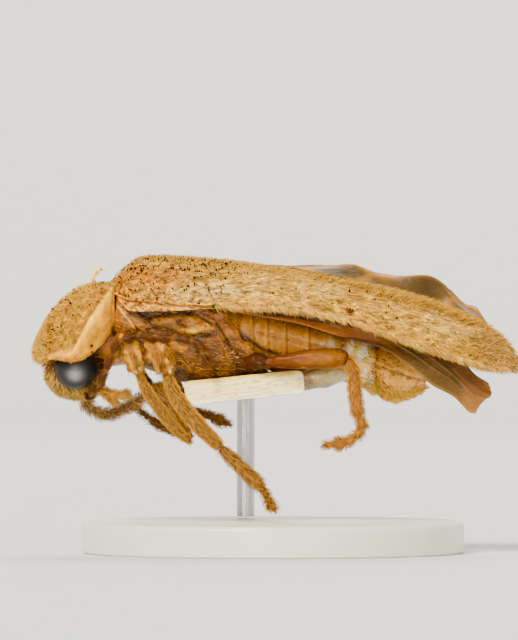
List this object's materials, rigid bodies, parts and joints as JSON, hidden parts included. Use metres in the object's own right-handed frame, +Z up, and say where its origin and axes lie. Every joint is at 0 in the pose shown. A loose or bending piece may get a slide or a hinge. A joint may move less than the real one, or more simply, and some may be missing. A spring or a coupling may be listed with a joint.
{
  "type": "mounted firefly specimen",
  "caption": "Small ochre firefly, glued to a strip of card on a plain stand, wing cases slightly apart and hind wings half folded.",
  "frame": {"origin": "centre of the underside of the round stand base", "axes": "+Z up, +X from the head towards the tail, +Y to the insect's right"},
  "size_m": [0.0052, 0.0042, 0.0032],
  "materials": {
    "wing_case": "hairy tan-ochre cuticle, satin",
    "pronotum": "hairy golden ochre cuticle, satin",
    "thorax": "smooth orange-brown cuticle, glossy",
    "abdomen": "pale orange cuticle, low gloss",
    "head": "brown hairy cuticle, satin",
    "eye": "black faceted eye, glossy",
    "leg": "yellow-orange cuticle with fine hair, satin",
    "feeler_dark": "dark purple-brown hairy joints",
    "feeler_brown": "pinkish-brown hairy joints",
    "palp": "yellow-orange, satin",
    "membrane": "smoky brown folded membrane, slightly clear",
    "card": "cream card, matte",
    "glue": "dried clear glue, milky",
    "stand_steel": "fine steel rod",
    "stand_base": "plain pale satin"
  },
  "bodies": {
    "root": {"abdomen": "abdomen", "antenna_left_base": "feeler_dark", "antenna_left_end": "feeler_dark", "antenna_left_middle": "feeler_dark", "antenna_right_base": "feeler_brown", "antenna_right_end": "feeler_brown", "antenna_right_middle": "feeler_brown", "card": "card", "elytron_left": "wing_case", "elytron_right": "wing_case", "eye_left": "eye", "eye_right": "eye", "glue": "glue", "head": "head", "hindwing_left": "membrane", "hindwing_right": "membrane", "leg_fore_left_coxa": "leg", "leg_fore_left_femur": "leg", "leg_fore_left_tarsus": "leg", "leg_fore_left_tibia": "leg", "leg_fore_right_coxa": "leg", "leg_fore_right_femur": "leg", "leg_fore_right_tarsus": "leg", "leg_fore_right_tibia": "leg", "leg_hind_left_coxa": "leg", "leg_hind_left_femur": "leg", "leg_hind_left_tarsus": "leg", "leg_hind_left_tibia": "leg", "leg_hind_right_coxa": "leg", "leg_hind_right_femur": "leg", "leg_hind_right_tarsus": "leg", "leg_hind_right_tibia": "leg", "leg_mid_left_coxa": "leg", "leg_mid_left_femur": "leg", "leg_mid_left_tarsus": "leg", "leg_mid_left_tibia": "leg", "leg_mid_right_coxa": "leg", "leg_mid_right_femur": "leg", "leg_mid_right_tarsus": "leg", "leg_mid_right_tibia": "leg", "mesothorax": "thorax", "metathorax": "thorax", "palp_labial_left": "palp", "palp_labial_right": "palp", "palp_maxillary_left": "palp", "palp_maxillary_right": "palp", "pronotum": "pronotum", "prothorax": "thorax", "scutellum": "pronotum", "stand_base": "stand_base", "stand_rod": "stand_steel"}
  },
  "joints": []
}
